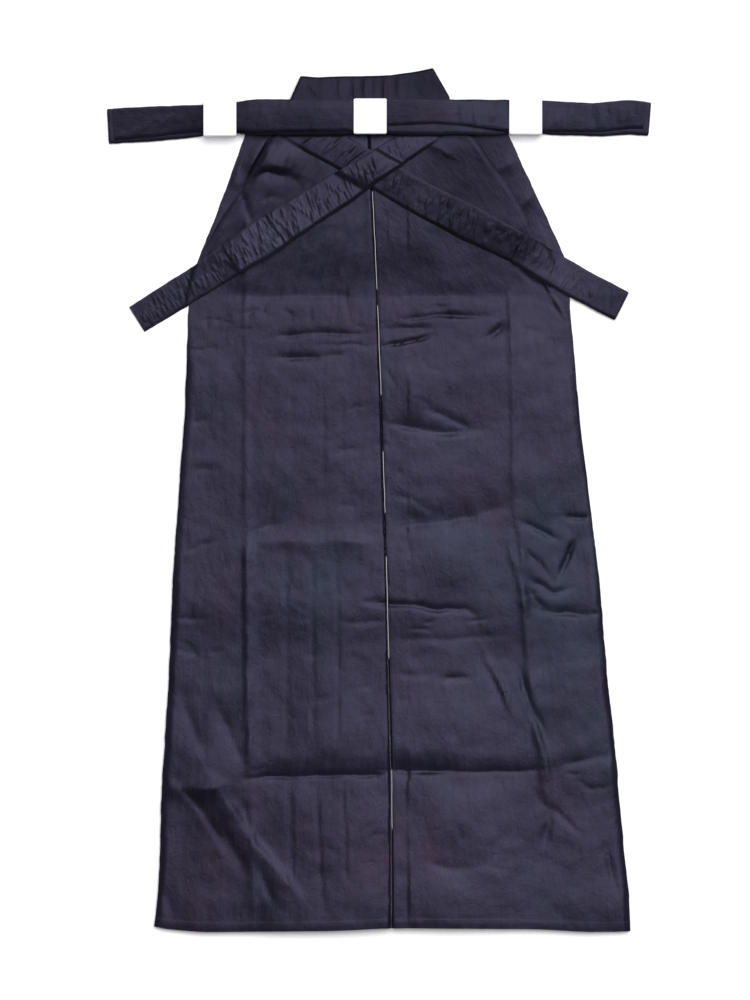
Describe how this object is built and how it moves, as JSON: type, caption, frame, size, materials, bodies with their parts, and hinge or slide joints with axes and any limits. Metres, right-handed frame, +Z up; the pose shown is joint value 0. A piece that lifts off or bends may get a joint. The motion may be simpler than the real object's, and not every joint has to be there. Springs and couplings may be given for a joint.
{
  "type": "hakama trousers",
  "caption": "Pleated divided trousers laid flat, back side up, with a stiff back board, folded waist tie and crossed back ties.",
  "frame": {"origin": "centre of the garment's outline, on the surface it lies on", "axes": "+Y from the hem towards the back board, +X to the right across the back, +Z up from the surface; the back side faces up"},
  "size_m": [0.6746, 1.0699, 0.0168],
  "materials": {
    "body_cloth": "dark navy satin weave with a low sheen and pressed creases",
    "tie_cloth": "dark navy satin weave, folded and puckered across",
    "board_cloth": "dark navy cloth drawn over a stiff board",
    "band_paper": "plain matte white paper"
  },
  "bodies": {
    "root": {"front_left": "body_cloth", "front_right": "body_cloth", "gusset_left": "body_cloth", "gusset_right": "body_cloth", "back_left": "body_cloth", "back_right": "body_cloth", "koshiita": "board_cloth", "front_tie": "tie_cloth", "back_tie_left": "tie_cloth", "back_tie_right": "tie_cloth", "paper_band_left": "band_paper", "paper_band_centre": "band_paper", "paper_band_right": "band_paper"}
  },
  "joints": []
}
